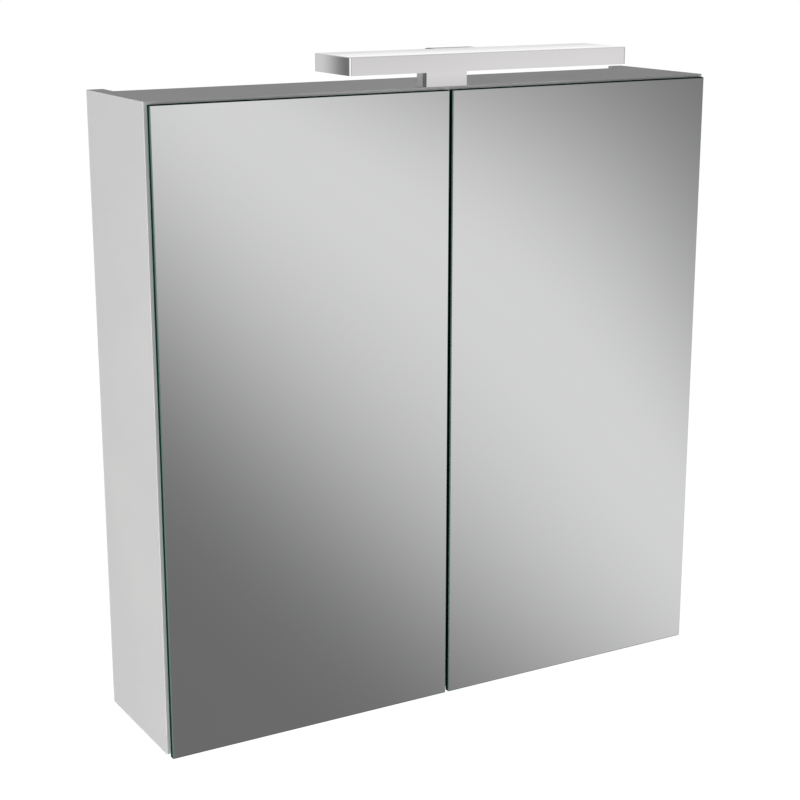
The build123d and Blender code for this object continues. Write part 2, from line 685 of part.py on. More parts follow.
def post_screw(side):
    radius, head = POST_SCREW_HEAD
    x = side * POST_SCREW_X
    return rod_z(POST_SCREW_RADIUS, x, POST_Y, CEILING, TOP + POST_SCREW_GRIP) + rod_z(
        radius, x, POST_Y, CEILING - head, CEILING)


def lamp_screws():
    return Compound([lamp_screw(side) for side in SIDES.values()])


def post_screws():
    return Compound([post_screw(side) for side in SIDES.values()])


def grommet():
    """A flanged sleeve where the lamp's wire passes the top board."""
    radius, thick = GROMMET_FLANGE
    sleeve = rod_z(GROMMET_RADIUS, 0, POST_Y, CEILING, TOP)
    sleeve += rod_z(radius, 0, POST_Y, CEILING - thick, CEILING)
    return sleeve - rod_z(WIRE_RADIUS, 0, POST_Y, CEILING - thick, TOP)


# Driver and switch
def driver_screw(side):
    radius, head = DRIVER_SCREW_HEAD
    x = side * (DRIVER_SIZE[0] + DRIVER_EAR) / 2
    y = (DRIVER_BACK + DRIVER_FRONT) / 2
    seat = CEILING - DRIVER_WALL
    return rod_z(DRIVER_SCREW_RADIUS, x, y, seat, CEILING + DRIVER_SCREW_GRIP) + rod_z(
        radius, x, y, seat - head, seat)


def driver_screws():
    return Compound([driver_screw(side) for side in SIDES.values()])


def switch_axis():
    """The rocker's axis, as y and z."""
    return DRIVER_FRONT + ROCKER_AXIS_DEPTH, CEILING - SWITCH_DOWN


def driver_box():
    """A tray screwed up against the top board, with the switch's window in front."""
    half, ear, wall = DRIVER_SIZE[0] / 2, DRIVER_EAR, DRIVER_WALL
    y, z = switch_axis()
    box = block(-half, half, DRIVER_FRONT, DRIVER_BACK, DRIVER_BASE, CEILING)
    box = fillet(box.edges().filter_by(Axis.Z) + box.faces().sort_by(Axis.Z)[0].edges(), DRIVER_ROUND)
    inside = half - wall
    box -= block(-inside, inside, DRIVER_FRONT + wall, DRIVER_BACK - wall, DRIVER_BASE + wall, CEILING)
    for side in SIDES.values():
        box += block(side * half, side * (half + ear), DRIVER_FRONT, DRIVER_BACK, CEILING - wall, CEILING)
        box -= driver_screw(side)
    window = ROCKER_SIZE[0] / 2 + SWITCH_GAP
    rise = ROCKER_SIZE[1] / 2 + SWITCH_GAP
    box -= block(-window, window, DRIVER_FRONT, DRIVER_FRONT + wall, z - rise, z + rise)
    for side in SIDES.values():
        near, far = side * window, side * (window + SWITCH_EAR)
        lug = block(near, far, DRIVER_FRONT + wall, y + SWITCH_EAR, DRIVER_BASE + wall, z + rise)
        box += lug - rod_x(ROCKER_PIN_RADIUS + RUNNING_CLEARANCE, near, far, y, z)
    return box


def rocker_switch():
    """A rocker with a ridged face and two stub pins, drawn level and then tilted to off."""
    y, z = switch_axis()
    length, rise = ROCKER_SIZE[0] / 2, ROCKER_SIZE[1] / 2
    ridge, edge = ROCKER_AXIS_DEPTH + ROCKER_FRONT, ROCKER_AXIS_DEPTH + ROCKER_FRONT / 2
    heel, rim = ROCKER_HEEL, ROCKER_RIM - edge
    lower = [(heel, -heel), (rim, -rise), (-edge, -rise)]
    upper = [(-edge, rise), (rim, rise), (heel, heel)]
    outline = [*lower, (-ridge, 0), *upper]
    rocker = extrude(Plane.YZ * make_face(Polyline(*outline, close=True)), length, both=True)
    pin = length + SWITCH_GAP + ROCKER_PIN
    rocker += rod_x(ROCKER_PIN_RADIUS, -pin, pin, 0, 0)
    return Pos(0, y, z) * Rot(ROCKER_TILT, 0, 0) * rocker


def all_nodes():
    """Every named piece of the cabinet."""
    nodes = {
        "top_panel": top_panel(),
        "bottom_panel": bottom_panel(),
        "back_panel": back_panel(),
        "dowels": dowels(),
        "cam_bolts": cam_bolts(),
        "cam_discs": cam_discs(),
        "adjust_screws": adjust_screws(),
        "hanger_screws": hanger_screws(),
        "shelf_pins": shelf_pins(),
        "door_bumpers": door_bumpers(),
        "hinge_plate_screws": plate_screws(),
        "hinge_arm_screws": arm_screws(),
        "lamp_housing": lamp_housing(),
        "lamp_diffuser": lamp_diffuser(),
        "lamp_board": lamp_board(),
        "lamp_chips": lamp_chips(),
        "lamp_bracket": lamp_bracket(),
        "lamp_screws": lamp_screws(),
        "bracket_screws": post_screws(),
        "wire_grommet": grommet(),
        "driver_box": driver_box(),
        "driver_screws": driver_screws(),
        "rocker_switch": rocker_switch(),
    }
    for name, level in SHELF_LEVELS.items():
        nodes[f"{name}_shelf"] = shelf(level)
    for name, side in SIDES.items():
        nodes[f"{name}_side_panel"] = side_panel(side)
        nodes[f"{name}_wall_plate"] = wall_plate(side)
        nodes[f"{name}_hanger_body"] = hanger_body(side)
        nodes[f"{name}_hanger_hook"] = hanger_hook(side)
        nodes[f"{name}_front_mirror"] = front_mirror(side)
        nodes[f"{name}_rear_mirror"] = rear_mirror(side)
        nodes[f"{name}_short_links"] = short_links(side)
        nodes[f"{name}_long_links"] = long_links(side)
        nodes[f"{name}_arm_pins"] = arm_pins(side)
        nodes[f"{name}_cup_pins"] = cup_pins(side)
        for level, z in HINGE_LEVELS.items():
            nodes[f"{name}_{level}_hinge_plate"] = side_plate(side, z)
            nodes[f"{name}_{level}_hinge_arm"] = hinge_arm(side, z)
            nodes[f"{name}_{level}_hinge_cup"] = cup_plate(side, z)
    return nodes


os.makedirs("parts", exist_ok=True)
for node, shape in all_nodes().items():
    export_step(shape, f"parts/{node}.step")
    print(node, len(shape.solids()))
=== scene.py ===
"""Looks of a medicine cabinet with two mirror doors and a lamp, in metres, in the part's own frame."""
import json
import math

import bmesh
import bpy
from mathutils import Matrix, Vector


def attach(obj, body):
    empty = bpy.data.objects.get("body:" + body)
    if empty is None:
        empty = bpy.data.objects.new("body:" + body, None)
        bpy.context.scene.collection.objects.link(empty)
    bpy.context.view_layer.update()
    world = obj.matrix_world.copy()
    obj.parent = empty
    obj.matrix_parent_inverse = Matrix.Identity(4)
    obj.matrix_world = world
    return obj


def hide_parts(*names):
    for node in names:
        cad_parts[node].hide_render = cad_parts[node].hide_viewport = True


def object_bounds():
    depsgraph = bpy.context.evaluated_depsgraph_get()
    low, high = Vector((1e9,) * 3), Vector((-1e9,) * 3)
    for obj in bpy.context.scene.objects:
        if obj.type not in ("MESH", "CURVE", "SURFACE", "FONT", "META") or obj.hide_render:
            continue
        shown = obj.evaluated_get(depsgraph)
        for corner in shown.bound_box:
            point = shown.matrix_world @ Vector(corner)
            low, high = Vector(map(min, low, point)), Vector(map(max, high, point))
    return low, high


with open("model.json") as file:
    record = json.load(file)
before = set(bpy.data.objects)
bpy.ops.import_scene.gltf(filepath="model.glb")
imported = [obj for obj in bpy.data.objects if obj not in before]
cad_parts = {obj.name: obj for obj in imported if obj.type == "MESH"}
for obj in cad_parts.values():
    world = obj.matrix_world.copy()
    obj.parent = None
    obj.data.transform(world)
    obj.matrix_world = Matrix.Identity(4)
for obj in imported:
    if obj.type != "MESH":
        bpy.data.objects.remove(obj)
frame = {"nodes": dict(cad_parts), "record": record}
cad_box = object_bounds()

# Camera
CAMERA_PLACE = (-0.96594, -1.72679, 0.25442)
CAMERA_AZIMUTH = -30.007
CAMERA_ELEVATION = 14.973
CAMERA_LENS = 78.4665
SENSOR_WIDTH = 36.0

# Studio seen in the mirrors: a bright band across a dark room
BAND_AXIS = (0.4745, 0.4526, 0.7550)
BAND_MIDDLE = -0.2872
BAND_PEAK = 0.7085
BAND_LOW_SIDE = {"level": 0.1554, "width": 0.1355, "power": 1.751}
BAND_HIGH_SIDE = {"level": 0.1652, "width": 0.0646, "power": 2.172}
BOW_AXIS = (-0.6902, 0.7236, 0.0)  # the band bows along this direction
BOW_MIDDLE = -0.9357
BOW_BEND = -24.47
BOW_MOST = -0.12
ROOM_LOW = (-0.37, -0.55)  # where the room begins below the band
ROOM_HIGH = (0.25, 0.60)  # and above it
ROOM_HEIGHT = (-0.45, 0.05)
ROOM_LIGHT = (0.30, 0.62)
BEHIND = (-0.1, 0.1)  # where the bright half behind the cabinet begins
HORIZON = (-0.04, 0.09)
HORIZON_LIGHT = (0.5, 0.76)
CEILING = (0.20, 0.42)
CEILING_LIGHT = (1.0, 0.5)
AMBIENT = 0.208

# Soft lamps of the studio, each seen from the cabinet's middle
SOFTBOXES = {
    "key": {"toward": (-0.96, -0.28, 0.02), "distance": 2.6, "size": 1.5, "power": 32.2},
    "back_fill": {"toward": (0.75, 0.62, -0.25), "distance": 2.8, "size": 1.4, "power": 38.0},
    "front_fill": {"toward": (0.2, -0.97, -0.12), "distance": 3.0, "size": 1.4, "power": 16.0},
    "low_fill": {"toward": (0.1, -0.3, -0.95), "distance": 1.4, "size": 1.2, "power": 5.0},
}

# Upright cards for reflections: light runs along x, from one end of fall to the other
LAMP_METAL = ("lamp_housing", "lamp_bracket")
CARD_FADE = 0.4  # soft border of a card
CARDS = {
    "front_card": {
        "y": -2.0, "x": (-0.2, 2.4), "z": (-0.15, 0.7), "foot": 0.13,
        "fall": (0.3, 1.6), "light": (0.05, 0.565), "only": LAMP_METAL,
    },
    "corner_card": {
        "y": -2.0, "x": (-16.0, 0.66), "z": (-0.15, 0.7), "foot": 0.13,
        "fall": (-2.6, -1.0), "light": (0.45, 0.4), "only": LAMP_METAL,
    },
    "near_card": {
        "y": -0.26, "x": (-0.9, -0.178), "z": (0.06, 0.2), "fade": 0.006,
        "light": (0.7, 0.7), "only": ("lamp_housing",),
    },
    "side_card": {
        "y": 0.5, "x": (-16.0, -1.8), "z": (-0.9, 0.7),
        "light": (0.5, 0.5), "only": LAMP_METAL,
    },
    "top_card": {
        "y": -2.0, "x": (-0.5, 4.0), "z": (0.3, 6.0),
        "light": (0.24, 0.24), "only": LAMP_METAL,
    },
    "sky_card": {
        "y": 2.7, "x": (0.5, 3.4), "z": (0.349, 1.4), "foot": 0.017,
        "light": (0.36, 0.36), "only": LAMP_METAL,
    },
    "rear_card": {
        "y": 2.7, "x": (-2.9, -1.1), "z": (-0.9, 0.9),
        "fall": (-1.745, -1.655), "light": (0.17, 0.70),
    },
}

# Floor
FLOOR_DROP = 1.2
FLOOR_SIZE = 60.0
FLOOR_WHITE = 0.985
FLOOR_SHADE = (0.13, 0.13, 0.13, 1.0)

# Colours
WHITE = (1.0, 1.0, 1.0, 1.0)
# painted highlight: the colour of the laminate's upright edges
LAMINATE_PAINTED_HIGHLIGHT = (0.96, 0.96, 0.955, 1.0)
GLASS_EDGE = (0.009, 0.036, 0.030)
# painted highlight: the colour of the glass's upright arris
GLASS_ARRIS_PAINTED_HIGHLIGHT = (0.15, 0.25, 0.22)
SILVER_DARK = (0.900, 0.905, 0.905)
SILVER_LIGHT = (0.905, 0.910, 0.908)
SHELF_EDGE = (0.45, 0.78, 0.68)
SHELF_FACE = (0.95, 0.985, 0.975)

# Lamp bracket
# painted shade: the darker colour of the bracket's level faces
BRACKET_LEVEL_PAINTED_SHADE = (0.34, 0.33, 0.33, 1.0)
BRACKET_SHEEN = (0.5, 0.5, 0.5, 1.0)  # shine at a grazing angle
POST_SPLIT = (-0.1444, -0.1438)  # where the post's sides change from the painted dark reflection in front to the painted light reflection behind
# painted reflection on the post's sides: dark colour in front, light colour behind
POST_FRONT_PAINTED_DARK_REFLECTION = (0.52, 0.51, 0.51, 1.0)
POST_REAR_PAINTED_LIGHT_REFLECTION = (0.98, 0.965, 0.965, 1.0)
POST_SATIN = 0.3

# Masks: how squarely a face looks along an axis, from none of the mask to all of it
ARRIS = (0.2, 0.45)
SILVERED = (0.90, 0.96)
FLAT_GLASS = (0.3, 0.9)
LEVEL_FACE = (0.35, 0.8)
SIDE_FACE = (0.8, 0.95)

# Ranges of textures
DRIFT = (0.3, 0.7)  # the part of a noise that is used
EVEN = (1.0, 1.0, 1.0)  # no stretch
UNIT = (0.0, 1.0)

# Screws: the axis that they lie along, and the height of their heads
SCREWS = {
    "hinge_plate_screws": (0, 0.0020),
    "hinge_arm_screws": (0, 0.0025),
    "hanger_screws": (0, 0.0020),
    "adjust_screws": (1, 0.0025),
    "bracket_screws": (2, 0.0030),
    "driver_screws": (2, 0.0020),
}
SCREW_SIDES = 24  # six for each arm of the cross
SHANK_SHARE = 0.5  # the shank's radius to the head's
TIP_SHARE = 0.3  # the tip's radius to the shank's
TAPER = 2.0  # the tapered end's length to the shank's radius
HEAD_PROFILE = ((1.0, 0.0), (1.0, 0.45), (0.94, 0.75), (0.74, 1.0))  # shares of its radius and height
RECESS_MOUTH = (0.62, 0.13)  # the cross's reach and half width, as shares of the head's radius
RECESS_FLOOR = (0.45, 0.11)
RECESS_DEPTH = 0.6  # share of the head's height
SHARP_ANGLE = 35.0
WELD = 1e-6

# Sockets of a mix node that mixes colours
MIX_FACTOR, MIX_OFF, MIX_ON, MIX_RESULT = 0, 6, 7, 2

record_slots = {part["node"]: part["material_slot"] for part in frame["record"]["subparts"]}


# Node helpers
def new_material(name):
    material = bpy.data.materials.new(name)
    material.use_nodes = True
    tree = material.node_tree
    return material, tree, tree.nodes["Principled BSDF"]


def feed(tree, socket, value):
    """Sets a socket to a number or colour, or links it to another socket."""
    if isinstance(value, bpy.types.NodeSocket):
        tree.links.new(value, socket)
    else:
        socket.default_value = value


def node(tree, kind, output=0, **inputs):
    """Adds a node and gives back one of its outputs."""
    made = tree.nodes.new(kind)
    for name, value in inputs.items():
        feed(tree, made.inputs[name], value)
    return made.outputs[output]


def calc(tree, operation, first, second=None):
    """One step of arithmetic on sockets or numbers."""
    made = tree.nodes.new("ShaderNodeMath")
    made.operation = operation
    feed(tree, made.inputs[0], first)
    if second is not None:
        feed(tree, made.inputs[1], second)
    return made.outputs[0]


def remap(tree, value, low, high, smooth=False):
    """Stretches a value from the first range to the second."""
    made = tree.nodes.new("ShaderNodeMapRange")
    made.interpolation_type = "SMOOTHSTEP" if smooth else "LINEAR"
    feed(tree, made.inputs["Value"], value)
    for name, number in zip(("From Min", "From Max", "To Min", "To Max"), (*low, *high)):
        made.inputs[name].default_value = number
    return made.outputs["Result"]


def mask(tree, value, span, smooth=False):
    """Goes from 0 to 1 as a value crosses a span."""
    return remap(tree, value, span, UNIT, smooth)


def ramp(tree, value, *stops):
    """Colours along a value, each stop given as a place and a colour."""
    made = tree.nodes.new("ShaderNodeValToRGB")
    elements = made.color_ramp.elements
    while len(elements) < len(stops):
        elements.new(1.0)
    for element, (place, colour) in zip(elements, stops):
        element.position = place
        element.color = (*colour, 1.0)
    feed(tree, made.inputs["Fac"], value)
    return made.outputs["Color"]


def split(tree, vector):
    """The outputs X, Y and Z of a vector."""
    made = tree.nodes.new("ShaderNodeSeparateXYZ")
    tree.links.new(vector, made.inputs[0])
    return made.outputs


def local_point(tree, stretch=EVEN):
    """The place on the piece, which stays with it when it moves."""
    point = node(tree, "ShaderNodeTexCoord", "Object")
    return node(tree, "ShaderNodeMapping", Vector=point, Scale=stretch)


def noise(tree, scale, detail=3.0, stretch=EVEN):
    point = local_point(tree, stretch)
    return node(tree, "ShaderNodeTexNoise", Vector=point, Scale=scale, Detail=detail)


def bump(tree, shader, height, distance, strength):
    normal = node(tree, "ShaderNodeBump", Height=height, Distance=distance, Strength=strength)
    tree.links.new(normal, shader.inputs["Normal"])


def mottled(tree, shader, dark, light, scale, roughness, detail=3.0, stretch=EVEN):
    """Colour and roughness that drift gently over a surface. Gives back both."""
    drift = noise(tree, scale, detail, stretch)
    colour = ramp(tree, drift, (DRIFT[0], dark), (DRIFT[1], light))
    gloss = remap(tree, drift, DRIFT, roughness)
    tree.links.new(colour, shader.inputs["Base Color"])
    tree.links.new(gloss, shader.inputs["Roughness"])
    return colour, gloss


def mix_colours(tree, share, off, on):
    """A colour that goes from off to on with a mask."""
    made = tree.nodes.new("ShaderNodeMix")
    made.data_type = "RGBA"
    for socket, value in ((MIX_FACTOR, share), (MIX_OFF, off), (MIX_ON, on)):
        feed(tree, made.inputs[socket], value)
    return made.outputs[MIX_RESULT]


def mix_shader(tree, share, off, on):
    """A shader that goes from off to on with a mask."""
    made = tree.nodes.new("ShaderNodeMixShader")
    for socket, value in zip(made.inputs, (share, off, on)):
        feed(tree, socket, value)
    return made.outputs[0]


def add_shader(tree, first, second):
    made = tree.nodes.new("ShaderNodeAddShader")
    tree.links.new(first, made.inputs[0])
    tree.links.new(second, made.inputs[1])
    return made.outputs[0]


def facing(tree, axis):
    """How squarely a face looks along an axis of the piece, from 0 to 1."""
    normal = node(tree, "ShaderNodeTexCoord", "Normal")
    return calc(tree, "ABSOLUTE", split(tree, normal)[axis])


def upright_arris(tree):
    """Marks the broken upright edges between a front and a side."""
    return mask(tree, calc(tree, "MULTIPLY", facing(tree, "X"), facing(tree, "Y")), ARRIS)


def seen_straight(tree):
    """1 for what the camera sees, also through glass."""
    path = tree.nodes.new("ShaderNodeLightPath").outputs
    return calc(tree, "MAXIMUM", path["Is Camera Ray"], path["Is Transmission Ray"])


# Materials
def laminate():
    """White satin laminate with a faint pore and a painted highlight on its upright edges."""
    material, tree, shader = new_material("white_laminate")
    dark, light = (0.785, 0.787, 0.785), (0.815, 0.815, 0.812)
    colour, _ = mottled(tree, shader, dark, light, scale=9.0, roughness=(0.46, 0.54))
    # painted highlight: the upright edges get a brighter colour
    painted_highlight_colour = mix_colours(tree, upright_arris(tree), colour, LAMINATE_PAINTED_HIGHLIGHT)
    tree.links.new(painted_highlight_colour, shader.inputs["Base Color"])
    shader.inputs["Specular IOR Level"].default_value = 0.1
    pores = noise(tree, scale=1400.0, detail=2.0)
    bump(tree, shader, pores, distance=0.00004, strength=0.5)
    return material


def beech():
    """Bare beech with grain along the dowels."""
    material, tree, shader = new_material("bare_beech")
    dark, light, along_x = (0.48, 0.29, 0.15), (0.70, 0.49, 0.29), (0.08, 1.0, 1.0)
    mottled(tree, shader, dark, light, scale=260.0, roughness=(0.55, 0.7), detail=5.0, stretch=along_x)
    return material


def silvered_glass():
    """Mirror on the broad faces, bottle green glass on the edges, and a painted highlight that makes the
    upright arris paler.
    """
    material, tree, shader = new_material("silvered_glass")
    silver = mask(tree, facing(tree, "Y"), SILVERED)
    drift = noise(tree, scale=3.0)
    # painted highlight: the upright arris gets a paler green than the other edges
    edge = ramp(tree, upright_arris(tree), (0.0, GLASS_EDGE), (1.0, GLASS_ARRIS_PAINTED_HIGHLIGHT))
    back = ramp(tree, drift, (DRIFT[0], SILVER_DARK), (DRIFT[1], SILVER_LIGHT))
    tree.links.new(mix_colours(tree, silver, edge, back), shader.inputs["Base Color"])
    tree.links.new(silver, shader.inputs["Metallic"])
    tree.links.new(remap(tree, silver, UNIT, (0.12, 0.004)), shader.inputs["Roughness"])
    shader.inputs["Specular IOR Level"].default_value = 0.0
    return material


def clear_glass():
    """Clear float glass, greener through its edges."""
    material, tree, shader = new_material("clear_glass")
    tint = ramp(tree, facing(tree, "Z"), (FLAT_GLASS[0], SHELF_EDGE), (FLAT_GLASS[1], SHELF_FACE))
    tree.links.new(tint, shader.inputs["Base Color"])
    gloss = remap(tree, noise(tree, scale=40.0), DRIFT, (0.0, 0.02))
    tree.links.new(gloss, shader.inputs["Roughness"])
    shader.inputs["Transmission Weight"].default_value = 1.0
    shader.inputs["IOR"].default_value = 1.5
    return material


def chrome(name):
    """Polished chrome plate. Gives back its colour and roughness as well, to build on."""
    material, tree, shader = new_material(name)
    dark, light = (0.84, 0.825, 0.825), (0.86, 0.845, 0.845)
    colour, gloss = mottled(tree, shader, dark, light, scale=14.0, roughness=(0.02, 0.04))
    shader.inputs["Metallic"].default_value = 1.0
    return material, tree, shader, colour, gloss


def polished_chrome():
    return chrome("polished_chrome")[0]


def bracket_chrome():
    """Chrome with painted shade on its level faces. The post's sides carry a painted reflection, dark in
    front and light behind, and are satin behind.
    """
    material, tree, shader, colour, gloss = chrome("bracket_chrome")
    is_level = mask(tree, facing(tree, "Z"), LEVEL_FACE)
    is_side = mask(tree, facing(tree, "X"), SIDE_FACE)
    is_rear = mask(tree, split(tree, local_point(tree))["Y"], POST_SPLIT)
    # painted reflection: the post's sides are coloured dark in front and light behind
    side = mix_colours(tree, is_rear, POST_FRONT_PAINTED_DARK_REFLECTION, POST_REAR_PAINTED_LIGHT_REFLECTION)
    # painted shade: level faces get a darker colour
    face = mix_colours(tree, is_level, colour, BRACKET_LEVEL_PAINTED_SHADE)
    tree.links.new(mix_colours(tree, is_side, face, side), shader.inputs["Base Color"])
    satin = calc(tree, "MULTIPLY", calc(tree, "MULTIPLY", is_side, is_rear), POST_SATIN)
    tree.links.new(calc(tree, "ADD", gloss, satin), shader.inputs["Roughness"])
    shader.inputs["Specular Tint"].default_value = BRACKET_SHEEN
    return material


def nickel():
    """Nickel plated steel with faint drawing lines."""
    material, tree, shader = new_material("nickel_steel")
    dark, light, along_z = (0.60, 0.59, 0.57), (0.72, 0.71, 0.69), (1.0, 1.0, 0.15)
    mottled(tree, shader, dark, light, scale=180.0, roughness=(0.22, 0.36), detail=4.0, stretch=along_z)
    shader.inputs["Metallic"].default_value = 1.0
    lines = noise(tree, scale=2200.0, detail=2.0, stretch=(1.0, 1.0, 0.1))
    bump(tree, shader, lines, distance=0.00002, strength=0.4)
    return material


def opal_plastic():
    """Milky plastic that lets a little light in."""
    material, tree, shader = new_material("opal_plastic")
    dark, light = (0.84, 0.84, 0.82), (0.88, 0.88, 0.87)
    mottled(tree, shader, dark, light, scale=25.0, roughness=(0.45, 0.55))
    shader.inputs["Subsurface Weight"].default_value = 0.2
    shader.inputs["Subsurface Scale"].default_value = 0.002
    return material


def solder_mask():
    """White lacquer over the copper of a circuit board."""
    material, tree, shader = new_material("white_solder_mask")
    dark, light = (0.76, 0.77, 0.75), (0.84, 0.84, 0.82)
    mottled(tree, shader, dark, light, scale=60.0, roughness=(0.3, 0.45))
    bump(tree, shader, noise(tree, scale=300.0), distance=0.00003, strength=0.5)
    return material


def phosphor():
    """Yellow coating of the light chips."""
    material, tree, shader = new_material("phosphor")
    dark, light = (0.80, 0.66, 0.22), (0.90, 0.78, 0.36)
    mottled(tree, shader, dark, light, scale=400.0, roughness=(0.2, 0.35))
    return material


def moulded(name, dark, light, roughness, grain):
    """Moulded plastic or rubber with a fine spark grain."""
    material, tree, shader = new_material(name)
    mottled(tree, shader, dark, light, scale=30.0, roughness=roughness)
    bump(tree, shader, noise(tree, grain, detail=2.0), distance=0.00005, strength=0.6)
    return material


def white_plastic():
    dark, light = (0.76, 0.76, 0.75), (0.80, 0.80, 0.79)
    return moulded("white_plastic", dark, light, roughness=(0.42, 0.52), grain=1600.0)


def grey_plastic():
    dark, light = (0.055, 0.058, 0.06), (0.08, 0.083, 0.086)
    return moulded("grey_plastic", dark, light, roughness=(0.3, 0.42), grain=1200.0)


def soft_rubber():
    dark, light = (0.34, 0.34, 0.34), (0.42, 0.42, 0.41)
    return moulded("soft_rubber", dark, light, roughness=(0.6, 0.75), grain=2400.0)


materials = {
    "white_board": laminate(),
    "beech": beech(),
    "mirror_glass": silvered_glass(),
    "shelf_glass": clear_glass(),
    "chrome": polished_chrome(),
    "opal_plastic": opal_plastic(),
    "circuit_board": solder_mask(),
    "light_chips": phosphor(),
    "white_plastic": white_plastic(),
    "grey_plastic": grey_plastic(),
    "rubber": soft_rubber(),
    "steel": nickel(),
}
for name, piece in frame["nodes"].items():
    piece.data.materials[0] = materials[record_slots[name]]
frame["nodes"]["lamp_bracket"].data.materials[0] = bracket_chrome()


def add_object(name, data):
    made = bpy.data.objects.new(name, data)
    bpy.context.scene.collection.objects.link(made)
    return made


def add_panel(name, corners, material):
    """One flat face with a material."""
    mesh = bpy.data.meshes.new(name)
    mesh.from_pydata(corners, [], [(0, 1, 2, 3)])
    mesh.materials.append(material)
    return add_object(name, mesh)


# Screws
def solids_of(name):
    """The lowest and highest corner of each separate solid of a node."""
    shape = bmesh.new()
    shape.from_mesh(frame["nodes"][name].data)
    bmesh.ops.remove_doubles(shape, verts=shape.verts, dist=WELD)
    boxes, seen = [], set()
    for start in shape.verts:
        if start in seen:
            continue
        seen.add(start)
        group, waiting = [], [start]
        while waiting:
            vert = waiting.pop()
            group.append(vert.co)
            for edge in vert.link_edges:
                other = edge.other_vert(vert)
                if other not in seen:
                    seen.add(other)
                    waiting.append(other)
        low, high = (Vector([pick(axis) for axis in zip(*group)]) for pick in (min, max))
        boxes.append((low, high))
    shape.free()
    return boxes


def circle(radius):
    """Points of a ring, from a diagonal of the recess round to the same diagonal."""
    angles = [math.radians(45.0) + math.tau * i / SCREW_SIDES for i in range(SCREW_SIDES)]
    return [(radius * math.cos(angle), radius * math.sin(angle)) for angle in angles]


def cross(radius, shares):
    """The outline of a cross, point for point in step with a ring."""
    reach, half_width = (radius * share for share in shares)
    middle = (reach + half_width) / 2
    arm = [(half_width, half_width), (half_width, middle), (half_width, reach)]
    arm += [(0.0, reach), (-half_width, reach), (-half_width, middle)]
    points = []
    for quarter in range(4):
        turn = math.radians(90.0 * quarter)
        cosine, sine = math.cos(turn), math.sin(turn)
        points += [(x * cosine - y * sine, x * sine + y * cosine) for x, y in arm]
    return points


def add_screw(shape, low, high, axis, head):
    """One screw in the box of its solid: a tapered end, a shank and a domed head with a cross recess."""
    size, middle = high - low, (low + high) / 2
    outward = -math.copysign(1.0, middle.x) if axis == 0 else -1.0
    along = Vector([outward if i == axis else 0.0 for i in range(3)])
    across = Vector([1.0 if i == (axis + 1) % 3 else 0.0 for i in range(3)])
    upward = along.cross(across)
    radius = size[(axis + 1) % 3] / 2
    shank = radius * SHANK_SHARE
    seat = middle + along * (size[axis] / 2 - head)
    grip = size[axis] - head
    floor = head * (1.0 - RECESS_DEPTH)
    layers = [
        (circle(shank * TIP_SHARE), -grip),
        (circle(shank), -grip + TAPER * shank),
        (circle(shank), 0.0),
    ]
    layers += [(circle(radius * wide), head * tall) for wide, tall in HEAD_PROFILE]
    layers += [(cross(radius, RECESS_MOUTH), head), (cross(radius, RECESS_FLOOR), floor)]
    rings = []
    for points, level in layers:
        ring = [seat + across * x + upward * y + along * level for x, y in points]
        rings.append([shape.verts.new(point) for point in ring])
    for lower, upper in zip(rings, rings[1:]):
        for i in range(SCREW_SIDES):
            j = (i + 1) % SCREW_SIDES
            shape.faces.new((lower[i], lower[j], upper[j], upper[i]))
    for ring, level in ((rings[0][::-1], -grip), (rings[-1], floor)):
        tip = shape.verts.new(seat + along * level)
        for i in range(SCREW_SIDES):
            shape.faces.new((ring[i], ring[(i + 1) % SCREW_SIDES], tip))


def build_screws(name, axis, head):
    """Cross headed screws in place of the plain ones of a node."""
    shape = bmesh.new()
    for low, high in solids_of(name):
        add_screw(shape, low, high, axis, head)
    bmesh.ops.recalc_face_normals(shape, faces=shape.faces)
    mesh = bpy.data.meshes.new(f"{name}_cross_headed")
    shape.to_mesh(mesh)
    shape.free()
    mesh.shade_smooth()
    mesh.set_sharp_from_angle(angle=math.radians(SHARP_ANGLE))
    mesh.materials.append(materials["steel"])
    piece = add_object(mesh.name, mesh)
    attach(piece, "carcass")
    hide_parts(name)


for name, (axis, head) in SCREWS.items():
    build_screws(name, axis, head)


# Studio
def studio_light(tree):
    """The light that each direction of the room sends to a mirror."""
    direction = node(tree, "ShaderNodeTexCoord", "Generated")
    toward = split(tree, direction)

    def measure(axis, middle):
        dot = tree.nodes.new("ShaderNodeVectorMath")
        dot.operation = "DOT_PRODUCT"
        feed(tree, dot.inputs[0], direction)
        dot.inputs[1].default_value = axis
        return calc(tree, "SUBTRACT", dot.outputs["Value"], middle)

    aside = measure(BOW_AXIS, BOW_MIDDLE)
    bow = calc(tree, "MULTIPLY", calc(tree, "MULTIPLY", aside, aside), BOW_BEND)
    along = calc(tree, "ADD", measure(BAND_AXIS, BAND_MIDDLE), calc(tree, "MAXIMUM", bow, BOW_MOST))
    distance = calc(tree, "ABSOLUTE", along)

    def fall(side):
        steep = calc(tree, "POWER", calc(tree, "DIVIDE", distance, side["width"]), side["power"])
        fade = calc(tree, "EXPONENT", calc(tree, "MULTIPLY", steep, -1.0))
        return remap(tree, fade, UNIT, (side["level"], BAND_PEAK))

    is_high = calc(tree, "GREATER_THAN", along, 0.0)
    band = node(tree, "ShaderNodeMix", Factor=is_high, A=fall(BAND_LOW_SIDE), B=fall(BAND_HIGH_SIDE))

    room_low = mask(tree, along, ROOM_LOW, smooth=True)
    room_high = mask(tree, along, ROOM_HIGH, smooth=True)
    room_light = remap(tree, toward["Z"], ROOM_HEIGHT, ROOM_LIGHT, smooth=True)
    room = calc(tree, "MULTIPLY", calc(tree, "MAXIMUM", room_low, room_high), room_light)

    horizon = remap(tree, toward["Z"], HORIZON, HORIZON_LIGHT)
    ceiling = remap(tree, toward["Z"], CEILING, CEILING_LIGHT, smooth=True)
    is_behind = mask(tree, toward["Y"], BEHIND, smooth=True)
    behind = calc(tree, "MULTIPLY", is_behind, calc(tree, "MULTIPLY", horizon, ceiling))
    return calc(tree, "MAXIMUM", calc(tree, "MAXIMUM", band, room), behind)


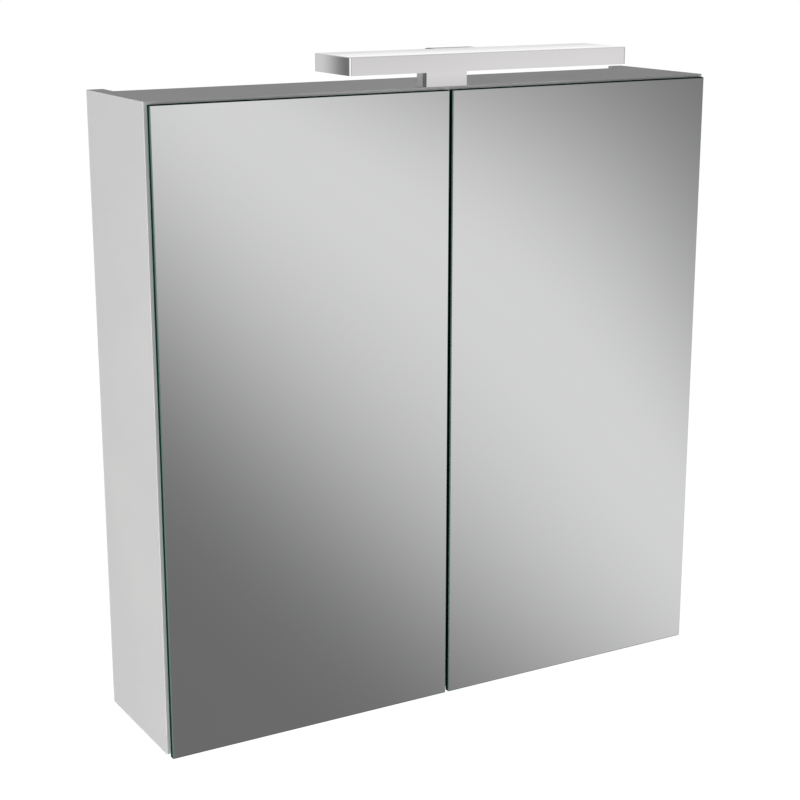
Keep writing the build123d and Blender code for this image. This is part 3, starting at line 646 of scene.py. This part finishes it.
def build_world():
    """White to the camera and through glass, the band to mirrors and metal, a soft grey to the rest."""
    world = bpy.data.worlds.new("studio")
    world.use_nodes = True
    tree = world.node_tree
    tree.nodes.clear()
    ambient = node(tree, "ShaderNodeBackground", Color=WHITE, Strength=AMBIENT)
    white = node(tree, "ShaderNodeBackground", Color=WHITE, Strength=1.0)
    mirrored = node(tree, "ShaderNodeBackground", Color=WHITE, Strength=studio_light(tree))
    is_glossy = node(tree, "ShaderNodeLightPath", "Is Glossy Ray")
    unseen = mix_shader(tree, is_glossy, ambient, mirrored)
    output = tree.nodes.new("ShaderNodeOutputWorld")
    tree.links.new(mix_shader(tree, seen_straight(tree), unseen, white), output.inputs["Surface"])
    bpy.context.scene.world = world


def build_floor():
    """A pale floor under the cabinet, near white to the camera, that keeps the shadow."""
    half = FLOOR_SIZE / 2
    level = cad_box[0][2] - FLOOR_DROP
    corners = [(-half, -half, level), (half, -half, level), (half, half, level), (-half, half, level)]
    material, tree, shader = new_material("pale_floor")
    mottled(tree, shader, (0.80, 0.80, 0.79), (0.84, 0.84, 0.83), scale=2.0, roughness=(0.7, 0.8))
    glow = node(tree, "ShaderNodeEmission", Color=WHITE, Strength=FLOOR_WHITE)
    shade = node(tree, "ShaderNodeBsdfDiffuse", Color=FLOOR_SHADE)
    surface = mix_shader(tree, seen_straight(tree), shader.outputs[0], add_shader(tree, glow, shade))
    tree.links.new(surface, tree.nodes["Material Output"].inputs["Surface"])
    floor = add_panel("floor", corners, material)
    floor.visible_glossy = False


def add_card(name, y, x, z, light, fall=None, foot=None, fade=CARD_FADE, only=()):
    """A card that only reflections show, with soft borders and a foot that can be softer or sharper.

    A card for some nodes only is clear, and its light is added to what lies behind it.
    """
    (left, right), (low, high) = x, z
    corners = [(left, y, low), (right, y, low), (right, y, high), (left, y, high)]
    material, tree, _ = new_material(name)
    place = split(tree, node(tree, "ShaderNodeTexCoord", "Object"))
    strength = remap(tree, place["X"], fall or x, light, smooth=True)
    borders = [("X", left, fade), ("X", right, -fade), ("Z", low, foot or fade), ("Z", high, -fade)]
    cover = 1.0
    for axis, edge, inset in borders:
        border = mask(tree, place[axis], (edge, edge + inset), smooth=True)
        cover = calc(tree, "MULTIPLY", border, cover)
    clear = node(tree, "ShaderNodeBsdfTransparent")
    if only:
        strength = calc(tree, "MULTIPLY", strength, cover)
    glow = node(tree, "ShaderNodeEmission", Color=WHITE, Strength=strength)
    surface = add_shader(tree, clear, glow) if only else mix_shader(tree, cover, clear, glow)
    tree.links.new(surface, tree.nodes["Material Output"].inputs["Surface"])
    card = add_panel(name, corners, material)
    if only:
        lit = bpy.data.collections.new(f"{name}_lights")
        for receiver in only:
            lit.objects.link(frame["nodes"][receiver])
        card.light_linking.receiver_collection = lit
    card.visible_camera = False
    card.visible_diffuse = False
    card.visible_transmission = False
    card.visible_shadow = False


def add_softbox(name, toward, distance, size, power):
    """A square lamp that faces the cabinet's middle and that reflections don't show."""
    middle = (cad_box[0] + cad_box[1]) / 2
    direction = Vector(toward).normalized()
    light = bpy.data.lights.new(name, "AREA")
    light.shape = "SQUARE"
    light.size = size
    light.energy = power
    lamp = add_object(name, light)
    lamp.location = middle + direction * distance
    lamp.rotation_euler = direction.to_track_quat("Z", "Y").to_euler()
    lamp.visible_glossy = False


def add_camera():
    lens = bpy.data.cameras.new("photo_view")
    lens.sensor_width = SENSOR_WIDTH
    lens.lens = CAMERA_LENS
    camera = add_object("photo_view", lens)
    camera.location = CAMERA_PLACE
    camera.rotation_euler = (math.radians(90.0 - CAMERA_ELEVATION), 0.0, math.radians(CAMERA_AZIMUTH))
    bpy.context.scene.camera = camera


build_world()
build_floor()
for name, box in SOFTBOXES.items():
    add_softbox(name, **box)
for name, card in CARDS.items():
    add_card(name, **card)
add_camera()
bpy.context.scene.view_settings.view_transform = "Standard"
